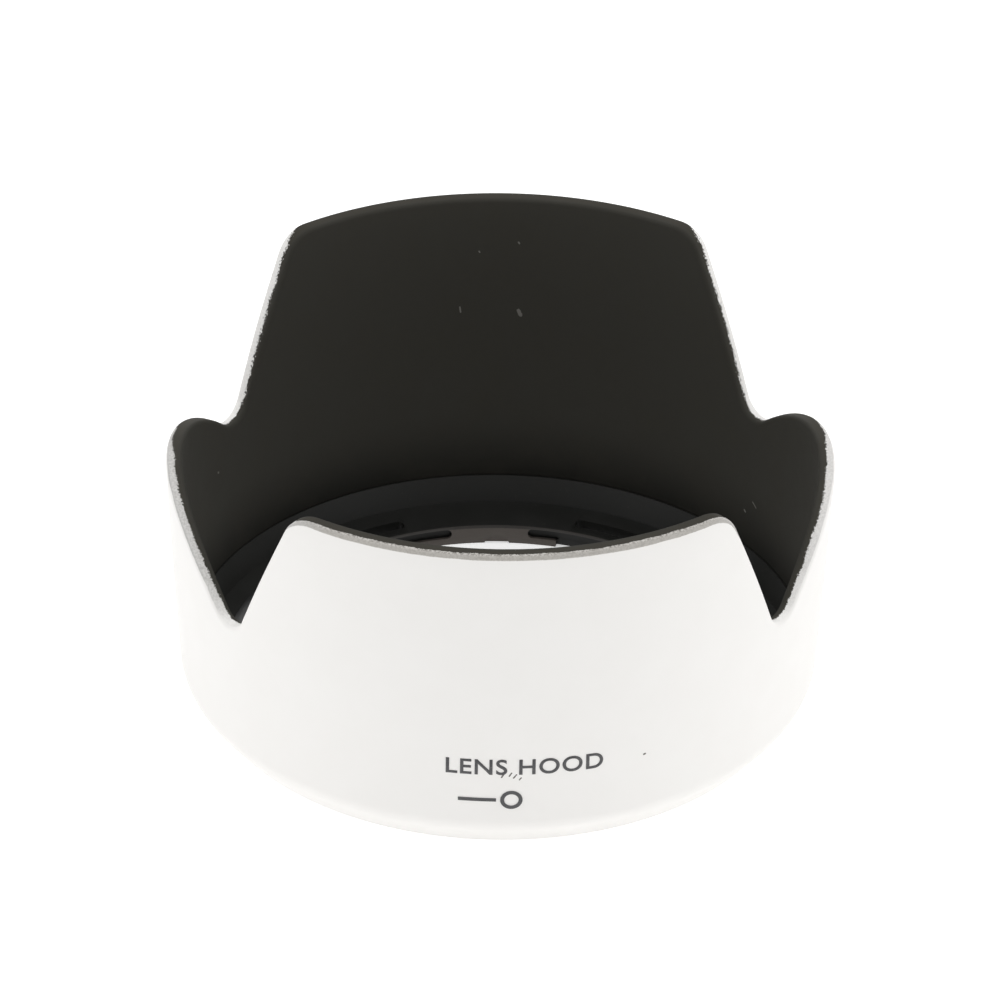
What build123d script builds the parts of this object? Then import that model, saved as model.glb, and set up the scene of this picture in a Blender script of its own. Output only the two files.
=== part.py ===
from build123d import *
import os
from math import atan2, cos, degrees, hypot, pi, radians, sin, sqrt, tan

# Petal-shaped lens hood: a moulded shell, a bonded bayonet ring and a printed lock mark.
# Millimetres. The origin is the centre of the rear face, +Z points to the front of the hood,
# and the lock mark faces -Y.

# ---- petal shell: the section of its wall ----
overall_height = 35.1          # to the top of the tall petal opposite the lock mark
rear_ledge = 6.2               # from the bore to the flank, both taken at the rear face
front_flare = 1.8              # how much wider in radius the flank is at the top
flank_bulge = 0.2              # how far the flank swells beyond a straight cone at half height
rim_wall = 1.6
seat_wall = 1.02               # beside the ring's upper edge
rear_chamfer_height = 3.0
rear_chamfer_depth = 2.2
lip_wall = 0.65                # wall behind the rear chamfer, measured square to it

# ---- petals: the rim's outline, drawn flat as if the wall were unrolled ----
unroll_depth = 0.4             # of the unrolled surface below the flank's widest radius
lock_petal_drop = 1.6          # how much lower the tall petal above the lock mark is
tall_petal_half_width = 21.3   # from the petal's middle to its corner, before rounding
tall_petal_flank_angle = 64.0  # degrees, between the petal's side and the horizontal
tall_petal_corner_radius = 3.4
side_petal_height = 24.8
side_petal_radius = 25.0
side_petal_shift = 0.64        # from the hood's side towards the tall petal opposite the lock mark
valley_radius = 2.7
outline_steps = 12             # spans of the curve that follows one edge of the outline

# ---- bayonet ring ----
ring_height = 4.5
ring_edge_wall = 0.15          # its feathered upper edge
band_run = 0.8                 # how far the band above the flange leans inwards
bore_radius = 23.8             # clears the lens barrel and sets the whole hood's size
bond_gap = 0.05                # adhesive film between the ring and the shell

# ---- bayonet: the same cuts at each lug of the lens ----
lug_count = 3
land_angle = 18.0              # degrees of bore left whole between two grooves
groove_bottom = 0.7
groove_height = 1.0
groove_roof = 0.3              # of plastic between the groove and the flange's upper face
groove_depth = 0.55
entry_offset = 15.7            # degrees, from the middle of a land to the start of the next entry
entry_angle = 29.0
notch_width = 2.5
notch_height = 0.9
notch_depth = 0.25
notch_offset = 1.7             # degrees, from the middle of a land towards its entry

# ---- click tongues: the bore's wall in front of an arc-shaped slot ----
tongue_wall = 1.1
slot_width = 1.3
slot_angle = 81.4              # degrees, tip to tip
nib_radius = 0.45
nib_rise = 0.2                 # how far the click nib stands out of the groove's floor

# ---- printed lock mark ----
ink_thickness = 0.04
ink_clearance = 0.01           # between the ink and the wall, which it doesn't key into
mark_height = 6.3              # of its middle above the rear face
mark_offset = 0.18             # of the mark's ring from the hood's middle plane
mark_ring_radius = 1.03
mark_stroke = 0.36
mark_line_length = 3.5
mark_gap = 0.38                # between the line and the ring
mark_margin = 1.0              # of the ink's band above and below the mark

cut_margin = 1.0               # how far a cutter passes the faces that it cuts

# ---- radii of the whole hood ----
rear_outer_radius = bore_radius + rear_ledge
front_outer_radius = rear_outer_radius + front_flare
unroll_radius = front_outer_radius - unroll_depth


def flank_radius(z):
    """Outer radius of the wall at height z."""
    middle = (rear_outer_radius + front_outer_radius) / 2 + flank_bulge
    lean = (front_outer_radius - rear_outer_radius) / overall_height
    share = 2 * z / overall_height - 1
    return middle + lean * (z - overall_height / 2) - flank_bulge * share * share


# ---- the ring's seat in the wall, with a conical foot parallel to the rear chamfer ----
seat_radius = flank_radius(ring_height) - seat_wall
chamfer_top_radius = flank_radius(rear_chamfer_height)
rear_edge_radius = rear_outer_radius - rear_chamfer_depth
chamfer_run = chamfer_top_radius - rear_edge_radius
chamfer_length = hypot(chamfer_run, rear_chamfer_height)
lip_radius = rear_edge_radius - lip_wall * chamfer_length / rear_chamfer_height
seat_cone_height = (seat_radius - lip_radius) * rear_chamfer_height / chamfer_run

# ---- the ring's own sizes ----
flange_thickness = groove_bottom + groove_height + groove_roof
ring_radius = seat_radius - bond_gap
ring_rear_radius = lip_radius - bond_gap * chamfer_length / rear_chamfer_height
ring_cone_height = (ring_radius - ring_rear_radius) * rear_chamfer_height / chamfer_run
band_top_radius = ring_radius - ring_edge_wall
band_foot_radius = band_top_radius - band_run
slot_radius = bore_radius + tongue_wall + slot_width / 2
lug_pitch = 360 / lug_count
first_land = 90.0              # degrees from +X: the land opposite the lock mark


def chain(*points):
    """Straight edges through (radius, height) points in the XZ plane."""
    corners = [Vector(radius, 0, z) for radius, z in points]
    return [Edge.make_line(a, b) for a, b in zip(corners, corners[1:])]


def flank_edge(low, high, proud=0.0):
    """The flank's gentle arc between two heights, stood proud of the wall by a distance."""
    points = [Vector(flank_radius(z) + proud, 0, z) for z in (low, (low + high) / 2, high)]
    return Edge.make_three_point_arc(*points)


def lathe(edges):
    """The solid that a closed profile in the XZ plane sweeps round the Z axis."""
    return revolve(Face(Wire(edges)), axis=Axis.Z)


def shell_blank():
    """The shell as a turned piece, a little too tall, before its petals are cut."""
    blank_height = overall_height + cut_margin
    rim_inner_radius = front_outer_radius - rim_wall
    profile = chain((lip_radius, 0), (rear_edge_radius, 0), (chamfer_top_radius, rear_chamfer_height))
    profile.append(flank_edge(rear_chamfer_height, overall_height))
    profile += chain((front_outer_radius, overall_height), (front_outer_radius, blank_height),
                     (rim_inner_radius, blank_height), (rim_inner_radius, overall_height),
                     (seat_radius, ring_height), (seat_radius, seat_cone_height), (lip_radius, 0))
    return lathe(profile)


def petal_outline(tall_height, run):
    """One quarter of the rim, unrolled: X runs round the wall from a tall petal's middle, Y is height.

    The edges are the flat top, the rounded corner, the flank, the rounded valley and the side
    petal's arc, which ends at that petal's middle, a run away.
    """
    slope = radians(tall_petal_flank_angle)
    down = Vector(cos(slope), -sin(slope))
    outward = Vector(sin(slope), cos(slope))
    corner = Vector(tall_petal_half_width, tall_height)
    corner_tangent = tall_petal_corner_radius * tan(slope / 2)
    corner_start = corner - Vector(corner_tangent, 0)
    corner_centre = corner_start - Vector(0, tall_petal_corner_radius)
    corner_middle = corner_centre + Vector(sin(slope / 2), cos(slope / 2)) * tall_petal_corner_radius
    corner_end = corner + down * corner_tangent

    side_top = Vector(run, side_petal_height)
    side_centre = side_top - Vector(0, side_petal_radius)
    # The valley's circle touches the flank and, from outside, the side petal's circle.
    offset = corner + outward * valley_radius - side_centre
    reach = side_petal_radius + valley_radius
    travel = -offset.dot(down) - sqrt(offset.dot(down) ** 2 - offset.dot(offset) + reach ** 2)
    valley_centre = side_centre + offset + down * travel
    to_side = (side_centre - valley_centre).normalized()
    valley_start = valley_centre - outward * valley_radius
    valley_middle = valley_centre + (to_side - outward).normalized() * valley_radius
    valley_end = valley_centre + to_side * valley_radius
    side_turn = (atan2(-to_side.Y, -to_side.X) + pi / 2) / 2
    side_middle = side_centre + Vector(cos(side_turn), sin(side_turn)) * side_petal_radius
    return [Edge.make_line(Vector(0, tall_height), corner_start),
            Edge.make_three_point_arc(corner_start, corner_middle, corner_end),
            Edge.make_line(corner_end, valley_start),
            Edge.make_three_point_arc(valley_start, valley_middle, valley_end),
            Edge.make_three_point_arc(valley_end, side_middle, side_top)]


def wrapped(edge, radius, side, end):
    """The curve that an unrolled edge makes on a cylinder, in the quarter at this side and end."""
    points = []
    for step in range(outline_steps + 1):
        place = edge @ (step / outline_steps)
        turn = place.X / unroll_radius
        points.append(Vector(side * radius * sin(turn), end * radius * cos(turn), place.Y))
    return Edge.make_spline(points)


def petal_cutters():
    """Solids that stand on the rim's face, which lies square to the wall, and clear all above it."""
    inner_radius = seat_radius - rim_wall - cut_margin
    outer_radius = front_outer_radius + flank_bulge + cut_margin
    cutters = []
    for side in (1, -1):
        for end, tall_height in ((1, overall_height), (-1, overall_height - lock_petal_drop)):
            for edge in petal_outline(tall_height, unroll_radius * pi / 2 - end * side_petal_shift):
                inner = wrapped(edge, inner_radius, side, end)
                outer = wrapped(edge, outer_radius, side, end)
                rim_face = Face.make_surface_from_curves(inner, outer)
                cutters.append(Solid.extrude(rim_face, Vector(0, 0, overall_height)))
    return cutters


def petal_shell():
    """The outer moulding: a flared wall with two tall and two low petals and a chamfered rear edge."""
    return shell_blank().cut(*petal_cutters())


def sector(inner_radius, outer_radius, bottom, height, start, angle):
    """A block of a ring between two radii, from one angle round by another, in degrees."""
    profile = chain((inner_radius, bottom), (outer_radius, bottom), (outer_radius, bottom + height),
                    (inner_radius, bottom + height), (inner_radius, bottom))
    block = revolve(Face(Wire(profile)), axis=Axis.Z, revolution_arc=angle)
    return Rot(0, 0, start) * block


def radial_pin(angle, radius, from_radius, to_radius, z):
    """A cylinder that lies along a radius of the hood."""
    length = to_radius - from_radius
    pin = Cylinder(radius, length, align=(Align.CENTER, Align.CENTER, Align.MIN))
    return Rot(0, 0, angle) * Pos(from_radius, 0, z) * Rot(0, 90, 0) * pin


def groove_cutter(land):
    """The channel in the bore's wall that a lens lug runs in, with round ends."""
    inner_radius = bore_radius - cut_margin
    outer_radius = bore_radius + groove_depth
    end_radius = groove_height / 2
    end_turn = degrees(end_radius / bore_radius)
    start = land + land_angle / 2 + end_turn
    angle = lug_pitch - land_angle - 2 * end_turn
    middle_height = groove_bottom + end_radius
    cutter = sector(inner_radius, outer_radius, groove_bottom, groove_height, start, angle)
    for end in (start, start + angle):
        cutter += radial_pin(end, end_radius, inner_radius, outer_radius, middle_height)
    return cutter


def entry_cutter(land):
    """The gap in the lip under the groove, where a lens lug comes in from the rear."""
    height = groove_bottom + groove_height / 2 + cut_margin
    start = land - entry_offset - entry_angle
    return sector(bore_radius - cut_margin, bore_radius + groove_depth, -cut_margin, height, start, entry_angle)


def notch_cutter(land):
    """The small round-topped notch at the foot of a land."""
    inner_radius = bore_radius - cut_margin
    outer_radius = bore_radius + notch_depth
    arch_height = notch_height - notch_width / 2
    return radial_pin(land - notch_offset, notch_width / 2, inner_radius, outer_radius, arch_height)


def slot_cutter(land):
    """The arc-shaped slot behind a click tongue, through the flange."""
    tip_turn = degrees(slot_width / 2 / slot_radius)
    start = land + (lug_pitch - slot_angle) / 2 + tip_turn
    arc = CenterArc((0, 0), slot_radius, start, slot_angle - 2 * tip_turn)
    slot = SlotArc(arc, slot_width)
    return extrude(Pos(0, 0, -cut_margin) * slot, flange_thickness + 2 * cut_margin)


def click_nib(land):
    """The small upright ridge in the groove that a lens lug clicks over."""
    centre_radius = bore_radius + groove_depth + nib_radius - nib_rise
    nib = Cylinder(nib_radius, groove_height, align=(Align.CENTER, Align.CENTER, Align.MIN))
    return Rot(0, 0, land + lug_pitch / 2) * Pos(centre_radius, 0, groove_bottom) * nib


def mount_ring():
    """The bayonet ring: a flange with a band that rises along the wall, and the bore's cuts."""
    ring = lathe(chain((bore_radius, 0), (ring_rear_radius, 0), (ring_radius, ring_cone_height),
                       (ring_radius, ring_height), (band_top_radius, ring_height),
                       (band_foot_radius, flange_thickness), (bore_radius, flange_thickness), (bore_radius, 0)))
    lands = [first_land + lug_pitch * lug for lug in range(lug_count)]
    for land in lands:
        ring -= groove_cutter(land)
        ring -= entry_cutter(land)
        ring -= notch_cutter(land)
        ring -= slot_cutter(land)
        ring += click_nib(land)
    return ring


def lock_mark():
    """The printed line and ring that show the locked position: ink on the shell's flank."""
    low = mark_height - mark_ring_radius - mark_margin
    high = mark_height + mark_ring_radius + mark_margin
    back, front = ink_clearance, ink_clearance + ink_thickness
    profile = [flank_edge(low, high, back), flank_edge(low, high, front)]
    for z in (low, high):
        profile += chain((flank_radius(z) + back, z), (flank_radius(z) + front, z))
    ink_band = lathe(profile)
    line_middle = -mark_ring_radius - mark_gap - mark_line_length / 2
    ring = Circle(mark_ring_radius) - Circle(mark_ring_radius - mark_stroke)
    line = Pos(line_middle, 0) * Rectangle(mark_line_length, mark_stroke)
    stamp = Plane.XZ * Pos(mark_offset, mark_height) * (ring + line)
    return ink_band & extrude(stamp, front_outer_radius + cut_margin)


def main():
    nodes = {"petal_shell": petal_shell(), "mount_ring": mount_ring(), "lock_mark": lock_mark()}
    os.makedirs("parts", exist_ok=True)
    for name, shape in nodes.items():
        shape.label = name
        export_step(shape, "parts/" + name + ".step")
        print(name, "solids", len(shape.solids()), "volume", round(shape.volume, 2))


main()
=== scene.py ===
import logging
import math
from dataclasses import dataclass
from enum import Enum
from typing import Callable, Iterable, Sequence

import bpy
import numpy as np
from bpy.types import Material, Modifier, Node, NodeSocket, NodeTree, Object
from mathutils import Matrix, Vector


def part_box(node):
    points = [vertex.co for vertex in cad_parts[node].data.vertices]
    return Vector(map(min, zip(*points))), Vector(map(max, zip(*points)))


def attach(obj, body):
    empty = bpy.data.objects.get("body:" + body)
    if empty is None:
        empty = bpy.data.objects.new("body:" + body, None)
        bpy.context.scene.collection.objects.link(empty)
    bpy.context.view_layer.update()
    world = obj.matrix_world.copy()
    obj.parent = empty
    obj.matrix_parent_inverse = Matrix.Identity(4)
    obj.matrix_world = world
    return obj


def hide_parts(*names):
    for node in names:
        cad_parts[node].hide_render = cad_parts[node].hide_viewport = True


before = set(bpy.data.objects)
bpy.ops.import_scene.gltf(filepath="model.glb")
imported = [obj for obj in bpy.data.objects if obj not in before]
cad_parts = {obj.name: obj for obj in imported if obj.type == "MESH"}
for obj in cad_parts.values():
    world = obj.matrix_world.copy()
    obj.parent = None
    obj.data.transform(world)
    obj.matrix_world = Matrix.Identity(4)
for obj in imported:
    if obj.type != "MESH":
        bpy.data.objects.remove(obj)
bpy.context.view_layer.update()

MM = 0.001
MERGE = 0.002 * MM  # vertices this near are one
TIGHT = 0.01 * MM  # how near a vertex lies to the surface it belongs to
SAME_TURN = 0.001  # angles this near are one, in radians
STEPS_PER_DEGREE = 0.83  # facets of a spun block, kept off the ring's own
BODY = "root"
log = logging.getLogger("lens_hood")


class Slot(Enum):
    """The record's material slots."""

    PAINT = "white_paint"
    PLASTIC = "black_plastic"
    INK = "grey_ink"


class Cut(Enum):
    """What a cutter does to the piece that it meets."""

    REMOVE = "DIFFERENCE"
    ADD = "UNION"


# ---------------------------------------------------------------- modelling helpers


def deselect_all() -> None:
    """Leave edit mode and select nothing."""
    if bpy.context.mode != "OBJECT":
        bpy.ops.object.mode_set(mode="OBJECT")
    bpy.ops.object.select_all(action="DESELECT")


def focus(piece: Object) -> None:
    """Select one object alone and make it active."""
    deselect_all()
    piece.select_set(True)
    bpy.context.view_layer.objects.active = piece


def select_edges(piece: Object, mask: np.ndarray) -> None:
    """Enter edit mode with a set of edges selected.

    Args:
        piece: the mesh object.
        mask: one truth value for each edge.
    """
    focus(piece)
    mesh = piece.data
    ends = np.zeros(len(mesh.edges) * 2, np.int32)
    mesh.edges.foreach_get("vertices", ends)
    points = np.zeros(len(mesh.vertices), bool)
    points[ends.reshape(-1, 2)[mask].ravel()] = True
    mesh.polygons.foreach_set("select", np.zeros(len(mesh.polygons), bool))
    mesh.edges.foreach_set("select", mask)
    mesh.vertices.foreach_set("select", points)
    bpy.ops.object.mode_set(mode="EDIT")
    bpy.ops.mesh.select_mode(type="EDGE")


def coordinates(piece: Object) -> np.ndarray:
    """Every vertex's place, as rows of X, Y and Z."""
    flat = np.zeros(len(piece.data.vertices) * 3)
    piece.data.vertices.foreach_get("co", flat)
    return flat.reshape(-1, 3)


def move_vertices(piece: Object, places: np.ndarray) -> None:
    """Put every vertex at its row of places."""
    piece.data.vertices.foreach_set("co", places.ravel())
    piece.data.update()


def radii(places: np.ndarray) -> np.ndarray:
    """The distance of each place from the Z axis."""
    return np.hypot(places[:, 0], places[:, 1])


def edge_ends(piece: Object) -> np.ndarray:
    """The two vertex numbers of every edge."""
    flat = np.zeros(len(piece.data.edges) * 2, np.int32)
    piece.data.edges.foreach_get("vertices", flat)
    return flat.reshape(-1, 2)


def turned(name: str, profile: Sequence[tuple[float, float]], sides: int) -> Object:
    """Turn a closed profile round the Z axis.

    Args:
        name: the new object's name.
        profile: radius and height of each corner, in order round the section.
        sides: how many flats the round has.

    Returns:
        The turned mesh, closed and with its faces outwards.
    """
    deselect_all()
    radius, height = profile[0]
    bpy.ops.mesh.primitive_circle_add(vertices=sides, radius=radius, location=(0, 0, height))
    piece = bpy.context.object
    piece.name = name
    bpy.ops.object.transform_apply(location=True, rotation=True, scale=True)
    bpy.ops.object.mode_set(mode="EDIT")
    bpy.ops.mesh.select_mode(type="EDGE")
    bpy.ops.mesh.select_all(action="SELECT")
    for next_radius, next_height in list(profile[1:]) + [profile[0]]:
        rise = {"value": (0, 0, next_height - height)}
        bpy.ops.mesh.extrude_region_move(TRANSFORM_OT_translate=rise)
        scale = next_radius / radius
        bpy.ops.transform.resize(value=(scale, scale, 1), center_override=(0, 0, next_height))
        radius, height = next_radius, next_height
    seal()
    return piece


def seal() -> None:
    """Merge doubles, turn every face outwards and leave edit mode."""
    bpy.ops.mesh.select_all(action="SELECT")
    bpy.ops.mesh.remove_doubles(threshold=MERGE)
    bpy.ops.mesh.normals_make_consistent(inside=False)
    bpy.ops.object.mode_set(mode="OBJECT")


def apply_modifier(piece: Object, modifier: Modifier) -> None:
    """Apply one modifier to its mesh."""
    focus(piece)
    bpy.ops.object.modifier_apply(modifier=modifier.name)


def cut(piece: Object, tool: Object, kind: Cut) -> None:
    """Cut a piece with a tool, or add the tool to it, and remove the tool.

    Args:
        piece: the mesh that is shaped.
        tool: a closed mesh.
        kind: whether the tool is taken away or added.
    """
    modifier = piece.modifiers.new("cut", "BOOLEAN")
    modifier.operation = kind.value
    modifier.solver = "EXACT"
    modifier.object = tool
    apply_modifier(piece, modifier)
    bpy.data.objects.remove(tool, do_unlink=True)


def arc_block(inner: float, outer: float, low: float, high: float, start: float, span: float) -> Object:
    """A block of a ring, spun from a flat rectangle.

    Args:
        inner: inner radius.
        outer: outer radius.
        low: height of its underside.
        high: height of its top.
        start: angle of its first end from +X, in radians.
        span: angle from end to end, in radians.

    Returns:
        The closed block.
    """
    deselect_all()
    bpy.ops.mesh.primitive_plane_add(size=1)
    block = bpy.context.object
    block.rotation_euler = (math.pi / 2, 0, 0)
    block.scale = (outer - inner, high - low, 1)
    block.location = ((inner + outer) / 2, 0, (low + high) / 2)
    bpy.ops.object.transform_apply(location=True, rotation=True, scale=True)
    block.rotation_euler = (0, 0, start)
    bpy.ops.object.transform_apply(location=False, rotation=True, scale=False)
    steps = max(2, round(STEPS_PER_DEGREE * math.degrees(span)))
    bpy.ops.object.mode_set(mode="EDIT")
    bpy.ops.mesh.select_all(action="SELECT")
    bpy.ops.mesh.spin(steps=steps, angle=span, center=(0, 0, 0), axis=(0, 0, -1))
    seal()
    return block


def round_ends(block: Object, start: float, span: float, radius: float, upright: bool) -> None:
    """Round the two ends of an arc block.

    Args:
        block: the block, as arc_block makes it.
        start: angle of its first end from +X, in radians.
        span: angle from end to end, in radians.
        radius: the rounding, a hair less than half the block's width there.
        upright: whether the rounded edges stand up or lie along a radius.
    """
    places = coordinates(block)
    turn = np.arctan2(places[:, 1], places[:, 0])
    at_end = np.zeros(len(turn), bool)
    for angle in (start, start + span):
        at_end |= np.abs(np.remainder(turn - angle + math.pi, math.tau) - math.pi) < SAME_TURN
    first, second = edge_ends(block).T
    rise = np.abs(places[first, 2] - places[second, 2])
    stands = rise > TIGHT
    select_edges(block, at_end[first] & at_end[second] & (stands == upright))
    bpy.ops.mesh.bevel(offset=radius, segments=10, affect="EDGES", clamp_overlap=True)
    bpy.ops.object.mode_set(mode="OBJECT")


def rod(radius: float, start: Vector, end: Vector, sides: int = 32) -> Object:
    """A round bar from one point to another."""
    deselect_all()
    along = end - start
    turn = along.to_track_quat("Z", "Y").to_euler()
    bpy.ops.mesh.primitive_cylinder_add(vertices=sides, radius=radius, depth=along.length,
                                        location=(start + end) / 2, rotation=turn)
    bar = bpy.context.object
    bpy.ops.object.transform_apply(location=True, rotation=True, scale=True)
    return bar


def around(angle: float, radius: float, height: float) -> Vector:
    """The point at an angle from +X, a radius and a height."""
    return Vector((radius * math.cos(angle), radius * math.sin(angle), height))


def finish_piece(piece: Object, material: Material) -> None:
    """Give a new piece its body and its material, and report it.

    Args:
        piece: the finished mesh object, in place.
        material: what it is dressed in.
    """
    piece.data.materials.clear()
    piece.data.materials.append(material)
    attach(piece, BODY)
    log.info("%s: %d faces", piece.name, len(piece.data.polygons))


# ---------------------------------------------------------------- shader helpers


class Sheet:
    """A node tree that is filled in by short calls."""

    def __init__(self, tree: NodeTree) -> None:
        """Start from an empty tree."""
        self.tree = tree
        tree.nodes.clear()

    def plug(self, socket: NodeSocket, value: object) -> None:
        """Link an input to what feeds it, or set its value."""
        if isinstance(value, NodeSocket):
            self.tree.links.new(value, socket)
        else:
            socket.default_value = value

    def node(self, kind: str, values: dict | None = None, **settings: object) -> Node:
        """Add a node.

        Args:
            kind: Blender's name for the node type.
            values: input name or number to a value, or to a socket that feeds it.
            settings: properties of the node itself.

        Returns:
            The new node.
        """
        node = self.tree.nodes.new(kind)
        for key, setting in settings.items():
            setattr(node, key, setting)
        for key, value in (values or {}).items():
            self.plug(node.inputs[key], value)
        return node

    def math(self, operation: str, *values: object, clamp: bool = False) -> NodeSocket:
        """One sum of numbers or sockets."""
        numbered = dict(enumerate(values))
        return self.node("ShaderNodeMath", numbered, operation=operation, use_clamp=clamp).outputs[0]

    def ramp(self, value: object, low: float, high: float, to_low: float = 0.0,
             to_high: float = 1.0) -> NodeSocket:
        """A smooth step of a value between two limits."""
        values = {"Value": value, "From Min": low, "From Max": high, "To Min": to_low, "To Max": to_high}
        node = self.node("ShaderNodeMapRange", values, interpolation_type="SMOOTHSTEP")
        return node.outputs["Result"]

    def noise(self, place: object, scale: object, detail: float = 2.0,
              roughness: float = 0.5) -> NodeSocket:
        """Noise from 0 to 1 at a number of bumps for each millimetre of place."""
        values = {"Vector": place, "Scale": scale, "Detail": detail, "Roughness": roughness}
        return self.node("ShaderNodeTexNoise", values).outputs["Fac"]

    def mix(self, share: object, first: object, second: object) -> NodeSocket:
        """A colour between two colours."""
        node = self.node("ShaderNodeMix", {"Factor": share}, data_type="RGBA")
        for socket, colour in ((node.inputs[6], first), (node.inputs[7], second)):
            self.plug(socket, (*colour, 1.0) if isinstance(colour, tuple) else colour)
        return node.outputs[2]

    def millimetres(self) -> NodeSocket:
        """The place on the object, in millimetres."""
        place = self.node("ShaderNodeTexCoord").outputs["Object"]
        scale = (1 / MM, 1 / MM, 1 / MM)
        return self.node("ShaderNodeMapping", {"Vector": place, "Scale": scale}).outputs["Vector"]

    def attribute(self, name: str) -> NodeSocket:
        """A number stored on the mesh."""
        return self.node("ShaderNodeAttribute", attribute_name=name).outputs["Fac"]

    def group(self, tree: NodeTree, values: dict) -> Node:
        """A copy of a node group, with its inputs set."""
        return self.node("ShaderNodeGroup", values, node_tree=tree)

    def height(self, place: NodeSocket) -> NodeSocket:
        """The height above the rear face, in millimetres."""
        return self.node("ShaderNodeSeparateXYZ", {0: place}).outputs["Z"]

    def bump(self, height: object, strength: float, distance: float) -> NodeSocket:
        """A normal tilted by a height."""
        values = {"Height": height, "Strength": strength, "Distance": distance}
        return self.node("ShaderNodeBump", values).outputs["Normal"]

    def surface(self, values: dict) -> None:
        """Close the sheet with a Principled shader."""
        shader = self.node("ShaderNodeBsdfPrincipled", values)
        self.node("ShaderNodeOutputMaterial", {"Surface": shader.outputs[0]})


def new_group(name: str, inputs: Iterable[tuple[str, str]],
              outputs: Iterable[tuple[str, str]]) -> tuple[NodeTree, Sheet, Node]:
    """Start a shader node group.

    Args:
        name: its name.
        inputs: name and socket type of each input.
        outputs: name and socket type of each output.

    Returns:
        The group, its sheet and its input node.
    """
    tree = bpy.data.node_groups.new(name, "ShaderNodeTree")
    sheet = Sheet(tree)
    for label, kind in inputs:
        tree.interface.new_socket(label, in_out="INPUT", socket_type=kind)
    for label, kind in outputs:
        tree.interface.new_socket(label, in_out="OUTPUT", socket_type=kind)
    return tree, sheet, sheet.node("NodeGroupInput")


def grain_group() -> NodeTree:
    """Fine moulded or sprayed grain: a height, and patches of gloss that wander."""
    inputs = (("Place", "NodeSocketVector"), ("Fineness", "NodeSocketFloat"))
    outputs = (("Height", "NodeSocketFloat"), ("Patches", "NodeSocketFloat"))
    tree, sheet, given = new_group("grain", inputs, outputs)
    fine = sheet.noise(given.outputs["Place"], given.outputs["Fineness"], 3.0, 0.6)
    patches = sheet.noise(given.outputs["Place"], 0.22, 4.0, 0.55)
    sheet.node("NodeGroupOutput", {"Height": fine, "Patches": patches})
    return tree


def tick_group() -> NodeTree:
    """A short stroke, such as a scratch, a hair or a speck: a mask round a line between two points."""
    inputs = (("Place", "NodeSocketVector"), ("Start", "NodeSocketVector"), ("End", "NodeSocketVector"),
              ("Width", "NodeSocketFloat"))
    tree, sheet, given = new_group("tick", inputs, (("Mask", "NodeSocketFloat"),))
    place, start, end = (given.outputs[name] for name in ("Place", "Start", "End"))

    def vector(operation: str, first: object, second: object, output: str = "Vector") -> NodeSocket:
        """One vector sum."""
        node = sheet.node("ShaderNodeVectorMath", {0: first, 1: second}, operation=operation)
        return node.outputs[output]

    line = vector("SUBTRACT", end, start)
    away = vector("SUBTRACT", place, start)
    share = sheet.math("DIVIDE", vector("DOT_PRODUCT", away, line, "Value"),
                       vector("DOT_PRODUCT", line, line, "Value"), clamp=True)
    along = sheet.node("ShaderNodeVectorMath", {0: line, "Scale": share}, operation="SCALE").outputs["Vector"]
    distance = vector("DISTANCE", away, along, "Value")
    ragged = sheet.math("MULTIPLY_ADD", sheet.noise(place, 6.0), 1.2, 0.4)
    spread = sheet.math("MULTIPLY", given.outputs["Width"], ragged)
    mask = sheet.math("SUBTRACT", 1.0, sheet.math("DIVIDE", distance, spread), clamp=True)
    sheet.node("NodeGroupOutput", {"Mask": sheet.ramp(mask, 0.0, 0.5)})
    return tree


def wear_group() -> NodeTree:
    """A ragged border: where a value falls short of a limit that wanders and frays."""
    inputs = (("Place", "NodeSocketVector"), ("Value", "NodeSocketFloat"), ("Limit", "NodeSocketFloat"),
              ("Wander", "NodeSocketFloat"), ("Fray", "NodeSocketFloat"))
    tree, sheet, given = new_group("wear", inputs, (("Mask", "NodeSocketFloat"),))
    place = given.outputs["Place"]
    slow = sheet.math("SUBTRACT", sheet.noise(place, 0.45, 2.0), 0.5)
    quick = sheet.math("SUBTRACT", sheet.noise(place, 5.5, 3.0, 0.7), 0.5)
    limit = sheet.math("MULTIPLY_ADD", slow, given.outputs["Wander"], given.outputs["Limit"])
    limit = sheet.math("MULTIPLY_ADD", quick, given.outputs["Fray"], limit)
    left = sheet.math("SUBTRACT", limit, given.outputs["Value"])
    sheet.node("NodeGroupOutput", {"Mask": sheet.ramp(left, -0.03, 0.03)})
    return tree


@dataclass(frozen=True)
class Tick:
    """A small mark on the wall, in degrees round from the lock mark and millimetres up."""

    turn: float
    height: float
    run: float
    rise: float
    width: float

    def ends(self, radius_at: Callable[[float], float]) -> tuple[tuple, tuple]:
        """Both ends in millimetres, on a wall whose radius at a height is given."""
        points = []
        for sign in (-0.5, 0.5):
            height = self.height + sign * self.rise
            radius = radius_at(height * MM) / MM
            angle = math.radians(self.turn) + sign * self.run / radius
            points.append((radius * math.sin(angle), -radius * math.cos(angle), height))
        return points[0], points[1]


@dataclass(frozen=True)
class Groups:
    """The node groups that the finishes share."""

    grain: NodeTree
    tick: NodeTree
    wear: NodeTree


def new_material(name: str) -> tuple[Material, Sheet]:
    """An empty node material and its sheet."""
    material = bpy.data.materials.new(name)
    material.use_nodes = True
    return material, Sheet(material.node_tree)


# ---------------------------------------------------------------- finishes


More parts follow.
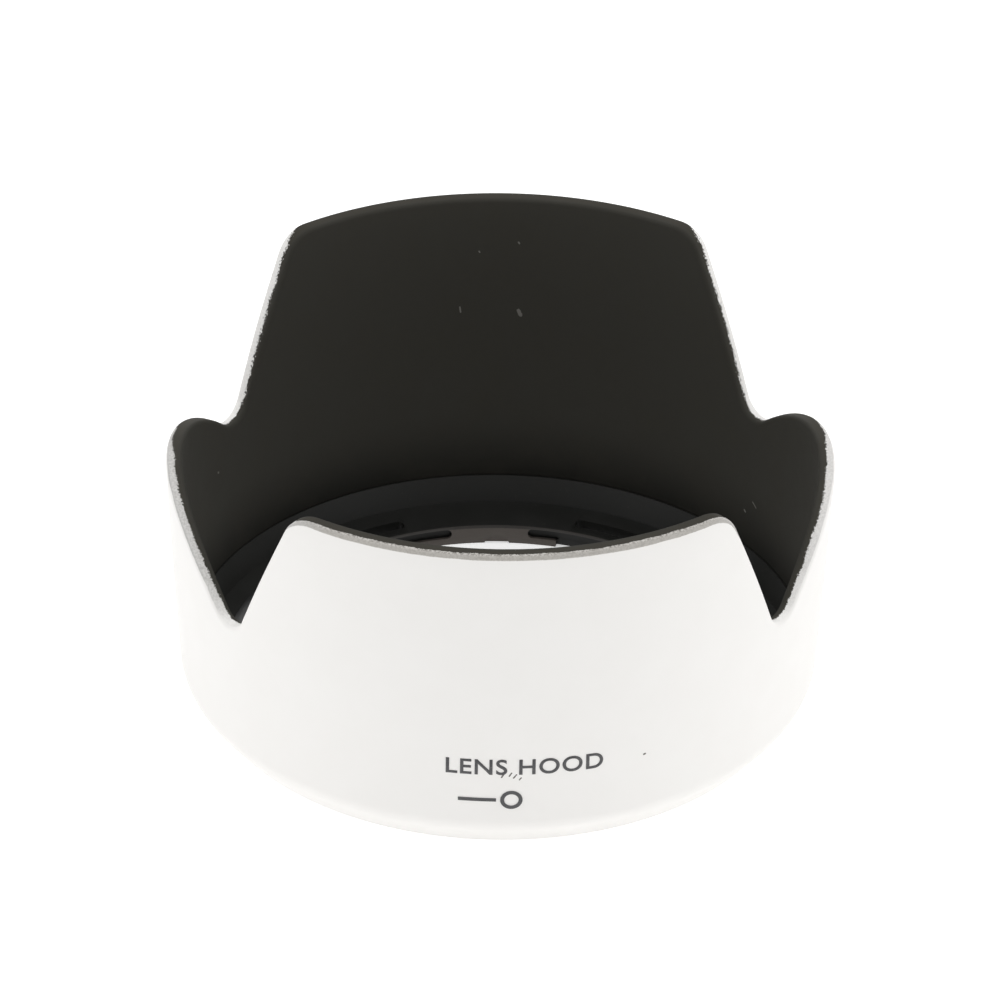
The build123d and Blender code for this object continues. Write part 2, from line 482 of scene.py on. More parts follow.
@dataclass(frozen=True)
class ShellFinish:
    """White satin paint outside, matt black inside, and a rubbed silver-grey rim between them; the inside is
    darkened towards the rear face as painted shade, and the rim's tone carries painted light and shade.
    """

    paint: tuple = (0.86, 0.848, 0.828)
    paint_patch: tuple = (0.852, 0.839, 0.818)
    # Each tone here runs from near white through mid to dark, chosen by the rim's wear-and-shade value. The
    # near white is painted light where the back flanks and valleys catch the light. The dark is painted shade
    # on the front rim as well as rubbing.
    silver: tuple = ((0.87, 0.86, 0.84), (0.64, 0.63, 0.615), (0.60, 0.58, 0.55))
    pit: tuple = ((0.80, 0.79, 0.77), (0.47, 0.46, 0.445), (0.19, 0.175, 0.155))
    corner: tuple = ((0.86, 0.85, 0.83), (0.47, 0.46, 0.45), (0.45, 0.43, 0.40))
    bare: tuple = (0.036, 0.033, 0.026)
    black: tuple = (0.0325, 0.0309, 0.0256)
    # Painted shade: the black that the inside darkens to near the rear face.
    painted_shade_black: tuple = (0.0040, 0.0039, 0.0030)
    scratch: tuple = (0.16, 0.155, 0.14)
    speck: tuple = (0.12, 0.11, 0.10)
    specular: float = 0.18
    scratches: tuple = (
        Tick(185.6, 23.1, 0.08, 0.55, 0.10), Tick(174.5, 22.7, 0.20, 0.50, 0.24),
        Tick(182.1, 29.4, 0.05, 0.10, 0.10), Tick(174.8, 30.4, 0.05, 0.10, 0.12),
        Tick(243.6, 14.9, 0.15, 0.10, 0.14), Tick(121.0, 9.5, 0.60, 0.35, 0.09),
        Tick(123.8, 8.1, 0.15, 0.10, 0.14))
    specks: tuple = (
        Tick(24.0, 9.6, 0.12, 0.05, 0.13), Tick(140.0, 11.0, 0.15, 0.1, 0.10),
        Tick(205.0, 20.0, 0.1, 0.1, 0.09),
        Tick(-1.2, 9.1, 0.22, 0.40, 0.10), Tick(0.1, 9.2, 0.20, 0.34, 0.09), Tick(0.9, 9.0, 0.25, 0.36, 0.09),
        Tick(1.8, 8.7, 0.16, 0.22, 0.08))

    def marks(self, sheet: Sheet, groups: Groups, place: NodeSocket, ticks: Iterable[Tick],
              radius_at: Callable[[float], float]) -> NodeSocket:
        """Gather all the small marks of one wall in one mask.

        Args:
            sheet: the material's sheet.
            groups: the shared node groups.
            place: the place on the object, in millimetres.
            ticks: the marks.
            radius_at: the wall's radius at a height.

        Returns:
            The mask's socket.
        """
        total: object = 0.0
        for tick in ticks:
            start, end = tick.ends(radius_at)
            values = {"Place": place, "Start": start, "End": end, "Width": tick.width}
            mask = sheet.group(groups.tick, values).outputs["Mask"]
            total = sheet.math("MAXIMUM", total, mask)
        return total

    def material(self, groups: Groups, shell: "PetalShell") -> Material:
        """Build the material.

        Args:
            groups: the shared node groups.
            shell: the shell that it dresses, for the radii of its walls.

        Returns:
            The finished material.
        """
        material, sheet = new_material("painted_shell")
        place = sheet.millimetres()
        inset = sheet.attribute("inset")
        below = sheet.attribute("below")
        grain = sheet.group(groups.grain, {"Place": place, "Fineness": 7.0})
        patches = grain.outputs["Patches"]
        speckle = sheet.noise(place, 5.0, 3.0, 0.8)

        reach = sheet.math("MAXIMUM", sheet.attribute("paint_reach"), sheet.ramp(below, 0.3, 0.6, -1.0, 0.5))
        fray = sheet.attribute("fray")
        edge = {"Place": place, "Value": inset, "Limit": reach, "Wander": 0.40, "Fray": fray}
        painted = sheet.group(groups.wear, edge).outputs["Mask"]
        # The wear-and-shade value sets the rubbed band's width and the rim's tone; the tone is partly real
        # rubbing and partly painted light and shade.
        wear_and_shade = sheet.attribute("wear_and_shade")
        limit = sheet.ramp(wear_and_shade, 0.1, 1.0, 0.08, 0.42)
        rubbed = {"Place": place, "Value": below, "Limit": limit, "Wander": 0.12, "Fray": 0.10}
        rim = sheet.group(groups.wear, rubbed).outputs["Mask"]
        handled_and_shaded, scraped_and_shaded = sheet.ramp(wear_and_shade, 0.0, 0.3), sheet.ramp(wear_and_shade, 0.3, 1.0)
        silver, pit, corner = (
            sheet.mix(scraped_and_shaded, sheet.mix(handled_and_shaded, clean_and_lit, dull), dark)
            for clean_and_lit, dull, dark in (self.silver, self.pit, self.corner))
        silver = sheet.mix(sheet.ramp(speckle, 0.36, 0.60), pit, silver)
        silver = sheet.mix(sheet.math("MULTIPLY", sheet.ramp(inset, 0.34, 0.16), 0.8), silver, corner)
        paint = sheet.mix(sheet.ramp(patches, 0.3, 0.7), self.paint, self.paint_patch)
        specked = self.marks(sheet, groups, place, self.specks, shell.outer_radius)
        paint = sheet.mix(specked, paint, self.speck)
        outside = sheet.mix(rim, paint, silver)

        height = sheet.height(place)
        # Painted shade: the inside's black darkens from 12 mm down to 1 mm above the rear face.
        black = sheet.mix(sheet.ramp(height, 1.0, 12.0), self.painted_shade_black, self.black)
        black = sheet.mix(sheet.ramp(patches, 0.35, 0.7, 0.0, 0.25), black, self.bare)
        scratched = self.marks(sheet, groups, place, self.scratches, shell.inner_radius)
        inside = sheet.mix(sheet.math("MULTIPLY", scratched, 0.8), black, self.scratch)
        lip = sheet.math("MULTIPLY", rim, sheet.ramp(inset, 1.35, 0.95))
        inside = sheet.mix(lip, inside, self.bare)
        colour = sheet.mix(painted, inside, outside)

        paint_gloss = sheet.ramp(patches, 0.2, 0.8, 0.40, 0.48)
        black_gloss = sheet.ramp(patches, 0.2, 0.8, 0.72, 0.80)
        roughness = sheet.node("ShaderNodeMix", {0: painted, 2: black_gloss, 3: paint_gloss}).outputs[0]
        fine = sheet.math("MULTIPLY", grain.outputs["Height"], sheet.ramp(painted, 0.0, 1.0, 1.0, 0.35))
        relief = sheet.math("MULTIPLY_ADD", painted, 0.8, fine)
        relief = sheet.math("MULTIPLY_ADD", sheet.math("MULTIPLY", speckle, rim), 1.4, relief)
        normal = sheet.bump(relief, 0.30, 0.03 * MM)
        sheet.surface({"Base Color": colour, "Roughness": roughness, "Normal": normal,
                       "Specular IOR Level": self.specular})
        return material


@dataclass(frozen=True)
class PlasticFinish:
    """Bare black plastic of the bayonet ring, semi-gloss, rubbed dull and pale in the bore; the pale colour
    there and in the notches is partly painted light.
    """

    colour: tuple = (0.0110, 0.0112, 0.0100)
    dust: tuple = (0.054, 0.051, 0.045)
    # Pale colour of the bore's face: partly rubbed plastic, partly painted light from the floor seen through
    # the bore.
    rubbed: tuple = (0.085, 0.073, 0.064)
    specular: float = 0.30

    def material(self, groups: Groups, bore: float) -> Material:
        """Build the material.

        Args:
            groups: the shared node groups.
            bore: radius of the surface that the lens rubs, in metres.

        Returns:
            The finished material.
        """
        material, sheet = new_material("ring_plastic")
        place = sheet.millimetres()
        grain = sheet.group(groups.grain, {"Place": place, "Fineness": 4.0})
        patches = grain.outputs["Patches"]
        lint = sheet.ramp(sheet.noise(place, 1.6, 4.0, 0.75), 0.60, 0.80, 0.0, 0.35)
        colour = sheet.mix(lint, self.colour, self.dust)
        level = {0: place, 1: (1, 1, 0)}
        flat = sheet.node("ShaderNodeVectorMath", level, operation="MULTIPLY").outputs["Vector"]
        radius = sheet.node("ShaderNodeVectorMath", {0: flat}, operation="LENGTH").outputs["Value"]
        height = sheet.height(place)
        # Painted light: the pale colour covers the bore's face and, below 0.85 mm, the notches too, as light
        # from the floor through the bore would; it is partly real rubbing.
        reach = sheet.ramp(height, 0.85, 0.95, bore / MM + 0.30, bore / MM + 0.05)
        rubbed = sheet.ramp(sheet.math("SUBTRACT", radius, reach), 0.05, 0.0)
        rubbed = sheet.math("MULTIPLY", rubbed, sheet.ramp(height, 1.62, 1.74, 1.0, 0.3))
        colour = sheet.mix(rubbed, colour, self.rubbed)
        roughness = sheet.ramp(patches, 0.25, 0.75, 0.40, 0.52)
        normal = sheet.bump(grain.outputs["Height"], 0.25, 0.02 * MM)
        sheet.surface({"Base Color": colour, "Roughness": roughness, "Normal": normal,
                       "Specular IOR Level": self.specular})
        return material


@dataclass(frozen=True)
class InkFinish:
    """Dark grey printing ink, thin and slightly rubbed."""

    ink: tuple = (0.058, 0.058, 0.061)
    rubbed: tuple = (0.36, 0.35, 0.34)

    def material(self, groups: Groups) -> Material:
        """Build the material from the shared groups."""
        material, sheet = new_material("printed_ink")
        place = sheet.millimetres()
        grain = sheet.group(groups.grain, {"Place": place, "Fineness": 9.0})
        thin = sheet.ramp(sheet.noise(place, 2.6, 4.0, 0.8), 0.60, 0.78, 0.0, 0.7)
        colour = sheet.mix(thin, self.ink, self.rubbed)
        roughness = sheet.ramp(grain.outputs["Patches"], 0.3, 0.7, 0.42, 0.52)
        normal = sheet.bump(grain.outputs["Height"], 0.2, 0.01 * MM)
        sheet.surface({"Base Color": colour, "Roughness": roughness, "Normal": normal})
        return material


# ---------------------------------------------------------------- the hood's pieces


@dataclass
class PetalShell:
    """The painted outer moulding, with two tall and two low petals."""

    rear_outer_radius: float = 30.0 * MM
    front_outer_radius: float = 31.8 * MM
    flank_bulge: float = 0.2 * MM
    rim_wall: float = 1.6 * MM
    seat_radius: float = 29.3 * MM
    seat_top: float = 4.5 * MM
    chamfer_height: float = 3.0 * MM
    chamfer_depth: float = 2.2 * MM
    lip_wall: float = 0.65 * MM
    lock_petal_drop: float = 1.6 * MM
    unroll_radius: float = 31.4 * MM
    petal_half_width: float = 21.3 * MM
    petal_slope: float = math.radians(64.0)
    corner_radius: float = 3.4 * MM
    side_height: float = 24.8 * MM
    side_radius: float = 25.0 * MM
    side_shift: float = 0.64 * MM
    valley_radius: float = 2.7 * MM
    carve_base: float = 9.0 * MM
    near_rim: float = 4.0 * MM
    rim_rounding: float = 0.42 * MM
    inner_rounding: float = 0.35 * MM
    chamfer_rounding: float = 0.8 * MM
    rear_rounding: float = 0.15 * MM
    smooth_angle: float = math.radians(35.0)
    sides: int = 1080

    def __post_init__(self) -> None:
        """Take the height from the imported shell."""
        self.height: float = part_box("petal_shell")[1][2]

    @property
    def rear_edge(self) -> float:
        """Radius of the rear chamfer's foot."""
        return self.rear_outer_radius - self.chamfer_depth

    @property
    def chamfer_run(self) -> float:
        """How far out the rear chamfer runs."""
        return self.outer_radius(self.chamfer_height) - self.rear_edge

    def behind_chamfer(self, wall: float) -> float:
        """Radius at the rear face of a cone that lies a wall's thickness inside the chamfer."""
        return self.rear_edge - wall * math.hypot(self.chamfer_run, self.chamfer_height) / self.chamfer_height

    def outer_radius(self, height: float) -> float:
        """Radius of the flank at a height; it takes numbers and arrays."""
        middle = (self.rear_outer_radius + self.front_outer_radius) / 2 + self.flank_bulge
        lean = (self.front_outer_radius - self.rear_outer_radius) / self.height
        share = 2 * height / self.height - 1
        return middle + lean * (height - self.height / 2) - self.flank_bulge * share * share

    def inner_radius(self, height: float) -> float:
        """Radius of the inside of the wall at a height above the ring."""
        rim = self.front_outer_radius - self.rim_wall
        lean = (rim - self.seat_radius) / (self.height - self.seat_top)
        return self.seat_radius + lean * (height - self.seat_top)

    def outline(self, tall: float, run: float) -> np.ndarray:
        """A quarter of the rim, unrolled.

        Args:
            tall: height of the tall petal at its start.
            run: distance round the wall from there to the side petal's middle.

        Returns:
            Rows of distance round the wall from the tall petal's middle, and height.
        """
        slope = self.petal_slope
        down = np.array([math.cos(slope), -math.sin(slope)])
        out = np.array([math.sin(slope), math.cos(slope)])
        corner = np.array([self.petal_half_width, tall])
        centre = corner - (self.corner_radius * math.tan(slope / 2), self.corner_radius)
        turn = np.linspace(0, slope, 24)[:, None]
        rounded = centre + self.corner_radius * np.hstack([np.sin(turn), np.cos(turn)])

        side_centre = np.array([run, self.side_height - self.side_radius])
        offset = corner + out * self.valley_radius - side_centre
        reach = self.side_radius + self.valley_radius
        travel = -offset @ down - math.sqrt((offset @ down) ** 2 - offset @ offset + reach ** 2)
        valley_centre = side_centre + offset + down * travel
        to_side = (side_centre - valley_centre) / reach
        first = math.atan2(-out[1], -out[0])
        last = math.atan2(to_side[1], to_side[0])
        turn = np.linspace(first, last, 32)[:, None]
        valley = valley_centre + self.valley_radius * np.hstack([np.cos(turn), np.sin(turn)])
        turn = np.linspace(math.atan2(-to_side[1], -to_side[0]), math.pi / 2, 48)[:, None]
        side = side_centre + self.side_radius * np.hstack([np.cos(turn), np.sin(turn)])
        return np.vstack([[[0.0, tall]], rounded, valley, side])

    def folded(self, x: np.ndarray, y: np.ndarray) -> tuple[np.ndarray, np.ndarray]:
        """Distance round the wall from the nearer tall petal, and whether that is the lock mark's."""
        turn = np.abs(np.arctan2(x, -y))
        lock_side = turn < math.pi / 2 + self.side_shift / self.unroll_radius
        return np.where(lock_side, turn, math.pi - turn) * self.unroll_radius, lock_side

    def outlines(self) -> tuple[np.ndarray, np.ndarray]:
        """The quarter outlines on the lock mark's side and on the far side."""
        quarter = self.unroll_radius * math.pi / 2
        near = self.outline(self.height - self.lock_petal_drop, quarter + self.side_shift)
        return near, self.outline(self.height, quarter - self.side_shift)

    def rim_height(self, x: np.ndarray, y: np.ndarray) -> np.ndarray:
        """Height of the rim in the direction of each point."""
        round_wall, lock_side = self.folded(x, y)
        near, far = self.outlines()
        near_height = np.interp(round_wall, near[:, 0], near[:, 1])
        far_height = np.interp(round_wall, far[:, 0], far[:, 1])
        return np.where(lock_side, near_height, far_height)

    def profile(self) -> list[tuple[float, float]]:
        """The wall's section, with rows enough for the petals to be drawn out of it."""
        lip = self.behind_chamfer(self.lip_wall)
        cone_top = (self.seat_radius - lip) * self.chamfer_height / self.chamfer_run
        low = np.linspace(self.chamfer_height, self.carve_base, 5)
        high = np.linspace(self.carve_base, self.height, 12)
        up = list(low) + list(high[1:])
        down = [height for height in reversed(up) if height > self.seat_top + MM]
        middle = (self.outer_radius(self.height) + self.inner_radius(self.height)) / 2
        section = [(lip, 0.0), (self.rear_edge, 0.0)]
        section += [(self.outer_radius(height), height) for height in up]
        section += [(middle, self.height)]
        section += [(self.inner_radius(height), height) for height in down]
        section += [(self.seat_radius, self.seat_top), (self.seat_radius, cone_top)]
        return section

    def carve_petals(self, shell: Object) -> None:
        """Draw the upper wall down to the rim's outline, in its own surface."""
        places = coordinates(shell)
        x, y, z = places.T
        radius = radii(places)
        high = z > self.carve_base
        outer = self.outer_radius(z)
        share = (outer - radius) / (outer - self.inner_radius(z))
        rise = (z - self.carve_base) / (self.height - self.carve_base)
        new_z = self.carve_base + rise * (self.rim_height(x, y) - self.carve_base)
        outer = self.outer_radius(new_z)
        new_radius = outer - share * (outer - self.inner_radius(new_z))
        scale = np.where(high, new_radius / radius, 1.0)
        move_vertices(shell, np.column_stack([x * scale, y * scale, np.where(high, new_z, z)]))

    def bevel_where(self, shell: Object, mask: np.ndarray, offset: float, segments: int) -> None:
        """Round the edges whose two ends are both in a set of vertices."""
        ends = edge_ends(shell)
        select_edges(shell, mask[ends].all(axis=1))
        bpy.ops.mesh.bevel(offset=offset, segments=segments, affect="EDGES", clamp_overlap=False)
        bpy.ops.object.mode_set(mode="OBJECT")

    def round_edges(self, shell: Object) -> None:
        """Round the rim's two edges and the rear chamfer's two."""
        def on_rim(places: np.ndarray) -> np.ndarray:
            """Which vertices lie on the rim's own face."""
            x, y, z = places.T
            return np.abs(z - self.rim_height(x, y)) < TIGHT

        edges = ((self.outer_radius, self.rim_rounding), (self.inner_radius, self.inner_rounding))
        for radius_at, offset in edges:
            places = coordinates(shell)
            mask = on_rim(places) & (np.abs(radii(places) - radius_at(places[:, 2])) < TIGHT)
            self.bevel_where(shell, mask, offset, 5)
        places = coordinates(shell)
        top = (np.abs(places[:, 2] - self.chamfer_height) < TIGHT) & (radii(places) > self.seat_radius)
        self.bevel_where(shell, top, self.chamfer_rounding, 6)
        places = coordinates(shell)
        rear = (places[:, 2] < TIGHT) & (radii(places) > self.rear_edge - TIGHT)
        self.bevel_where(shell, rear, self.rear_rounding, 3)

    def store(self, shell: Object, name: str, values: np.ndarray) -> None:
        """Keep one number for each vertex, for the material."""
        layer = shell.data.attributes.new(name, "FLOAT", "POINT")
        layer.data.foreach_set("value", values.astype(np.float32))

    def measure_rim(self, shell: Object) -> None:
        """Store how deep each point lies in the wall, how far below the rim, and how worn it is, with painted
        light and shade in that last value.
        """
        places = coordinates(shell)
        x, y, z = places.T
        radius = radii(places)
        slope = self.chamfer_run / self.chamfer_height
        skin = np.where(z < self.chamfer_height, self.rear_edge + slope * z, self.outer_radius(z))
        seat = np.minimum(self.behind_chamfer(self.lip_wall) + slope * z, self.seat_radius)
        lining = np.where(z < self.seat_top, seat, self.inner_radius(z))
        self.store(shell, "inset", (skin - radius) / (skin - lining) * self.rim_wall / MM)
        self.store(shell, "below", self.depth_below_rim(x, y, z) / MM)
        self.store_wear(shell, x, y, z)

    def depth_below_rim(self, x: np.ndarray, y: np.ndarray, z: np.ndarray) -> np.ndarray:
        """Distance of each point from the rim's outline, up to the limit near the rim."""
        round_wall, lock_side = self.folded(x, y)
        below = np.full(len(z), self.near_rim)
        upper = z > self.rim_height(x, y) - self.near_rim
        for line, here in zip(self.outlines(), (lock_side & upper, ~lock_side & upper)):
            start, step = line[:-1], line[1:] - line[:-1]
            length = (step * step).sum(axis=1)
            chosen = np.flatnonzero(here)
            for part in np.array_split(chosen, 1 + len(chosen) // 2000):
                away = np.column_stack([round_wall[part], z[part]])[:, None, :] - start
                share = np.clip((away * step).sum(axis=2) / length, 0, 1)[..., None]
                below[part] = np.linalg.norm(away - share * step, axis=2).min(axis=1)
        return np.minimum(below, self.near_rim)

    def store_wear(self, shell: Object, x: np.ndarray, y: np.ndarray, z: np.ndarray) -> None:
        """Store how far paint reaches over the rim, how it frays there and how worn the rim is, a value that
        also carries painted light and shade.

        Args:
            shell: the mesh object.
            x: each vertex's place along X.
            y: each vertex's place along Y.
            z: each vertex's height.
        """
        round_wall, lock_side = self.folded(x, y)
        around_wall = round_wall / MM
        low = z < self.side_height + 0.5 * MM
        valley = (around_wall > 29) & low
        front, far = lock_side & ~valley, ~lock_side & ~valley
        crest = np.interp(around_wall, (34, 36, 40, 46, 49), (0.9, -0.6, 0.15, 0.50, 0.85))
        dip = np.where(x < 0, np.interp(around_wall, (33, 36), (1.12, 0.88)), 0.84)
        top = np.interp(around_wall, (19.3, 20.4, 21.8), (-0.6, 0.35, 0.88))
        flank = np.where(x < 0, 0.96, 0.80)
        zones = [front & (around_wall < 21.3), far & (z > self.height - 4.5 * MM), far, valley & lock_side]
        reach = np.select(zones, [0.48, np.minimum(top, flank), flank, dip], crest)
        self.store(shell, "paint_reach", reach)
        self.store(shell, "fray", np.select([front, far], [0.40, 1.35], 0.85))
        # The wear-and-shade value is high on the front petal's rim, which is painted darker as shade, and low
        # on the back flanks and in the valleys, which are painted near white as light.
        left = np.interp(around_wall, (16, 21, 23), (1.0, 0.55, 0.0))
        right = np.interp(around_wall, (18, 22, 24), (1.0, 0.60, 0.0))
        side = np.interp(around_wall, (31, 36), (0.05, 0.30)) * np.where(x < 0, 1.0, 0.55)
        wear_and_shade = np.select([front & (x < 0), front, far & (x < 0), far], [left, right, 0.10, 0.0], side)
        self.store(shell, "wear_and_shade", wear_and_shade)

    def build(self, material: Material) -> Object:
        """Model the shell and let it stand for its CAD node.

        Args:
            material: its finish.

        Returns:
            The finished object.
        """
        shell = turned("petal_shell_skin", self.profile(), self.sides)
        self.carve_petals(shell)
        self.round_edges(shell)
        self.measure_rim(shell)
        focus(shell)
        bpy.ops.object.shade_smooth_by_angle(angle=self.smooth_angle)
        finish_piece(shell, material)
        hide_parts("petal_shell")
        return shell


@dataclass
class BayonetRing:
    """The black ring at the rear, with its band, lands, grooves and click tongues."""

    seat_radius: float = 29.3 * MM
    bond_gap: float = 0.05 * MM
    edge_wall: float = 0.15 * MM
    band_run: float = 0.8 * MM
    flange: float = 2.0 * MM
    bore: float = 23.8 * MM
    groove_bottom: float = 0.7 * MM
    groove_height: float = 1.0 * MM
    groove_depth: float = 0.55 * MM
    notch_width: float = 2.5 * MM
    notch_height: float = 0.9 * MM
    notch_depth: float = 0.25 * MM
    notch_offset: float = math.radians(1.7)
    tongue_wall: float = 1.1 * MM
    slot_width: float = 1.3 * MM
    nib_radius: float = 0.45 * MM
    nib_rise: float = 0.2 * MM
    margin: float = 1.0 * MM
    hair: float = 0.005 * MM
    land_angle: float = math.radians(18.0)
    entry_offset: float = math.radians(15.7)
    entry_angle: float = math.radians(29.0)
    slot_angle: float = math.radians(81.4)
    lugs: int = 3
    sides: int = 360
    skew: float = math.radians(0.37)
    edge_width: float = 0.07 * MM
    weld: float = 0.0005 * MM
    sharp_angle: float = math.radians(35.0)
    smooth_angle: float = math.radians(32.0)
    sunk: float = 0.1 * MM

    def profile(self, shell: PetalShell) -> list[tuple[float, float]]:
        """The ring's section, inside the shell's seat."""
        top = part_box("mount_ring")[1][2]
        rear = shell.behind_chamfer(shell.lip_wall + self.bond_gap)
        outer = self.seat_radius - self.bond_gap
        cone_top = (outer - rear) * shell.chamfer_height / shell.chamfer_run
        band_top = outer - self.edge_wall
        return [(self.bore, 0.0), (rear, 0.0), (outer, cone_top), (outer, top), (band_top, top),
                (band_top - self.band_run, self.flange), (self.bore, self.flange)]

    def cut_groove(self, ring: Object, land: float) -> None:
        """Cut the round-ended channel from one land to the next."""
        outer = self.bore + self.groove_depth
        start = land + self.land_angle / 2
        span = math.tau / self.lugs - self.land_angle
        low, high = self.groove_bottom, self.groove_bottom + self.groove_height
        block = arc_block(self.bore - self.margin, outer, low, high, start, span)
        round_ends(block, start, span, 0.49 * self.groove_height, False)
        cut(ring, block, Cut.REMOVE)

    def cut_entry(self, ring: Object, land: float) -> None:
        """Cut the gap in the lip where a lens lug comes in."""
        start = land - self.entry_offset - self.entry_angle
        high = self.groove_bottom + self.groove_height / 2
        outer = self.bore + self.groove_depth - self.hair
        block = arc_block(self.bore - self.margin, outer, -self.margin, high, start, self.entry_angle)
        cut(ring, block, Cut.REMOVE)

    def cut_notch(self, ring: Object, land: float) -> None:
        """Cut the arched notch at the foot of a land."""
        height = self.notch_height - self.notch_width / 2
        land -= self.notch_offset
        inner, outer = self.bore - self.margin, self.bore + self.notch_depth
        ends = (around(land, inner, height), around(land, outer, height))
        cut(ring, rod(self.notch_width / 2, *ends), Cut.REMOVE)

    def cut_slot(self, ring: Object, land: float) -> None:
        """Cut the round-ended slot that frees a click tongue."""
        inner = self.bore + self.tongue_wall
        start = land + (math.tau / self.lugs - self.slot_angle) / 2
        low, high = -self.margin, self.flange + self.margin
        block = arc_block(inner, inner + self.slot_width, low, high, start, self.slot_angle)
        round_ends(block, start, self.slot_angle, 0.49 * self.slot_width, True)
        cut(ring, block, Cut.REMOVE)

    def add_nib(self, ring: Object, land: float) -> None:
        """Add the upright ridge that a lug clicks over."""
        turn = land + math.pi / self.lugs
        radius = self.bore + self.groove_depth + self.nib_radius - self.nib_rise
        low = self.groove_bottom - self.sunk
        high = self.groove_bottom + self.groove_height + self.sunk
        cut(ring, rod(self.nib_radius, around(turn, radius, low), around(turn, radius, high)), Cut.ADD)

    def build(self, shell: PetalShell, material: Material) -> Object:
        """Model the ring and let it stand for its CAD node.

        Args:
            shell: the shell that it sits in.
            material: its finish.

        Returns:
            The finished object.
        """
        ring = turned("bayonet_ring", self.profile(shell), self.sides)
        ring.rotation_euler = (0, 0, self.skew)
        focus(ring)
        bpy.ops.object.transform_apply(location=False, rotation=True, scale=False)
        for lug in range(self.lugs):
            land = math.pi / 2 + lug * math.tau / self.lugs
            for step in (self.cut_groove, self.cut_entry, self.cut_notch, self.cut_slot, self.add_nib):
                step(ring, land)
        focus(ring)
        bpy.ops.object.mode_set(mode="EDIT")
        bpy.ops.mesh.select_all(action="SELECT")
        bpy.ops.mesh.remove_doubles(threshold=self.weld)
        bpy.ops.object.mode_set(mode="OBJECT")
        bevel = ring.modifiers.new("edges", "BEVEL")
        bevel.width = self.edge_width
        bevel.segments = 2
        bevel.limit_method = "ANGLE"
        bevel.angle_limit = self.sharp_angle
        apply_modifier(ring, bevel)
        bpy.ops.object.shade_smooth_by_angle(angle=self.smooth_angle)
        finish_piece(ring, material)
        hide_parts("mount_ring")
        return ring


@dataclass
class Lettering:
    """Plain generic words printed above the lock mark."""

    words: str = "LENS HOOD"
    middle: float = 1.4 * MM
    height: float = 10.05 * MM
    length: float = 14.6 * MM
    cap_height: float = 1.75 * MM
    thickness: float = 0.04 * MM
    weight: float = 0.012
    spacing: float = 1.08

    def build(self, shell: PetalShell, material: Material) -> Object:
        """Set the words, thicken them and lay them on the flank.

        Args:
            shell: the shell whose flank carries them.
            material: the ink.

        Returns:
            The finished object.
        """
        deselect_all()
        bpy.ops.object.text_add()
        text = bpy.context.object
        text.data.body = self.words
        text.data.align_x = "CENTER"
        text.data.align_y = "CENTER"
        text.data.offset = self.weight
        text.data.space_character = self.spacing
        text.data.resolution_u = 6
        bpy.ops.object.convert(target="MESH")
        letters = bpy.context.object
        letters.name = "lettering"
        flat = coordinates(letters)
        low, high = flat.min(axis=0), flat.max(axis=0)
        scale = np.array([self.length / (high[0] - low[0]), self.cap_height / (high[1] - low[1])])
        move_vertices(letters, np.column_stack([(flat[:, :2] - (low + high)[:2] / 2) * scale, flat[:, 2]]))
        bpy.ops.object.mode_set(mode="EDIT")
        bpy.ops.mesh.select_all(action="SELECT")
        bpy.ops.mesh.remove_doubles(threshold=MERGE)
        bpy.ops.mesh.extrude_region_move(TRANSFORM_OT_translate={"value": (0, 0, self.thickness)})
        seal()
        x, y, proud = coordinates(letters).T
        z = y + self.height
        radius = shell.outer_radius(z)
        turn = (x + self.middle) / radius
        radius = radius + proud
        move_vertices(letters, np.column_stack([radius * np.sin(turn), -radius * np.cos(turn), z]))
        finish_piece(letters, material)
        return letters


# ---------------------------------------------------------------- studio


@dataclass(frozen=True)
class Softbox:
    """One square lamp, by its direction from the hood."""

    name: str
    azimuth: float
    elevation: float
    distance: float
    size: float
    power: float

    def build(self) -> None:
        """Hang the lamp, aimed at the hood."""
        turn, tilt = math.radians(self.azimuth), math.radians(self.elevation)
        away = Vector((math.sin(turn) * math.cos(tilt), -math.cos(turn) * math.cos(tilt), math.sin(tilt)))
        lamp = bpy.data.lights.new(self.name, "AREA")
        lamp.shape = "SQUARE"
        lamp.size = self.size
        lamp.energy = self.power
        holder = bpy.data.objects.new(self.name, lamp)
        bpy.context.scene.collection.objects.link(holder)
        holder.location = away * self.distance
        holder.rotation_euler = away.to_track_quat("Z", "Y").to_euler()


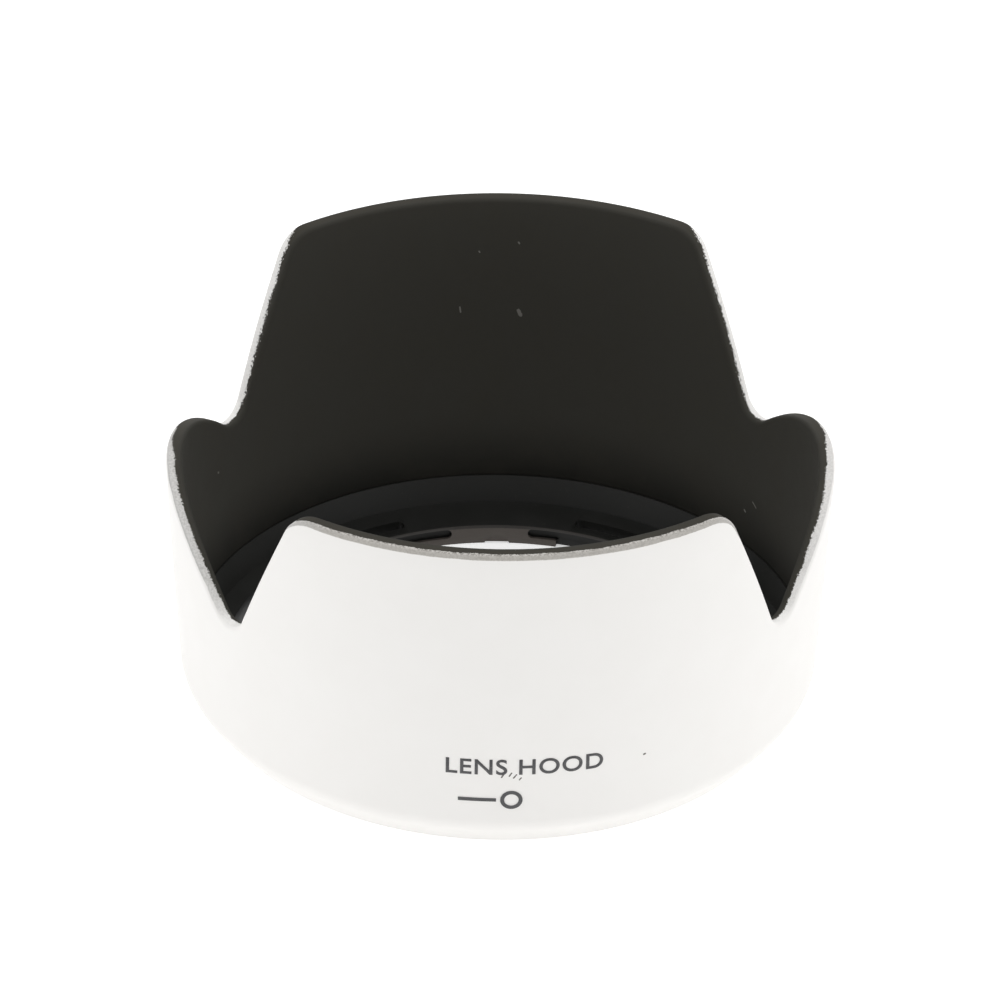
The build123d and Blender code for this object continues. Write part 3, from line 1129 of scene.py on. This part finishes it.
@dataclass(frozen=True)
class Studio:
    """A pale floor, a white surround, soft lamps and the camera."""

    floor_size: float = 3.0
    floor_colour: tuple = (0.90, 0.90, 0.90)
    floor_glow: float = 0.45
    surround: float = 0.46
    boxes: tuple = (
        Softbox("left_softbox", -80, 30, 0.8, 0.7, 1.5), Softbox("right_softbox", 80, 30, 0.8, 0.7, 1.7),
        Softbox("top_softbox", 180, 80, 0.8, 0.7, 2.6))
    aim_height: float = 12.0 * MM
    distance: float = 730.0 * MM
    elevation: float = math.radians(32.45)
    azimuth: float = math.radians(2.34)
    roll: float = math.radians(0.79)
    raise_aim: float = math.radians(0.517)
    lens: float = 277.3
    sensor: float = 36.0

    def camera(self) -> None:
        """Place the camera."""
        flat = math.cos(self.elevation)
        turn = self.azimuth
        back = Vector((-math.sin(turn) * flat, -math.cos(turn) * flat, math.sin(self.elevation)))
        place = back * self.distance + Vector((0, 0, self.aim_height))
        right = Vector((0, 0, 1)).cross(back).normalized()
        back = Matrix.Rotation(self.raise_aim, 3, right) @ back
        up = back.cross(right)
        spin = Matrix.Rotation(self.roll, 3, back)
        right, up = spin @ right, spin @ up
        data = bpy.data.cameras.new("camera")
        data.lens = self.lens
        data.sensor_width = self.sensor
        data.clip_start = 0.01
        camera = bpy.data.objects.new("camera", data)
        bpy.context.scene.collection.objects.link(camera)
        axes = Matrix((right, up, back)).transposed()
        camera.matrix_world = Matrix.Translation(place) @ axes.to_4x4()
        bpy.context.scene.camera = camera

    def floor(self) -> None:
        """Lay the floor under the hood."""
        deselect_all()
        bpy.ops.mesh.primitive_plane_add(size=self.floor_size, location=(0, 0, 0))
        floor = bpy.context.object
        floor.name = "floor"
        material, sheet = new_material("floor_paper")
        diffuse = sheet.node("ShaderNodeBsdfDiffuse", {"Color": (*self.floor_colour, 1)})
        light = sheet.node("ShaderNodeEmission", {"Color": (1, 1, 1, 1), "Strength": self.floor_glow})
        both = sheet.node("ShaderNodeAddShader", {0: diffuse.outputs[0], 1: light.outputs[0]})
        sheet.node("ShaderNodeOutputMaterial", {"Surface": both.outputs[0]})
        floor.data.materials.append(material)

    def world(self) -> None:
        """Light the scene softly from all round, white to the camera."""
        world = bpy.data.worlds.new("surround")
        world.use_nodes = True
        sheet = Sheet(world.node_tree)
        path = sheet.node("ShaderNodeLightPath")
        seen = sheet.math("MAXIMUM", path.outputs["Is Camera Ray"], path.outputs["Is Glossy Ray"])
        seen = sheet.math("MAXIMUM", seen, path.outputs["Is Transmission Ray"])
        strength = sheet.math("MULTIPLY_ADD", seen, 1.0 - self.surround, self.surround)
        shader = sheet.node("ShaderNodeBackground", {"Color": (1, 1, 1, 1), "Strength": strength})
        sheet.node("ShaderNodeOutputWorld", {"Surface": shader.outputs[0]})
        bpy.context.scene.world = world

    def build(self) -> None:
        """Set up the whole studio."""
        self.camera()
        self.floor()
        self.world()
        for box in self.boxes:
            box.build()
        bpy.context.scene.view_settings.view_transform = "Standard"


def main() -> None:
    """Build the studio, dress the frame and add the finished pieces."""
    logging.basicConfig(level=logging.INFO, format="%(name)s %(message)s")
    Studio().build()
    groups = Groups(grain_group(), tick_group(), wear_group())
    ink = InkFinish().material(groups)
    shell = PetalShell()
    shell.build(ShellFinish().material(groups, shell))
    ring = BayonetRing()
    ring.build(shell, PlasticFinish().material(groups, ring.bore))
    Lettering().build(shell, ink)
    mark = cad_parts["lock_mark"]
    mark.data.materials.clear()
    mark.data.materials.append(ink)
    log.info("lock_mark: dressed in ink")


if __name__ == "__main__":
    main()
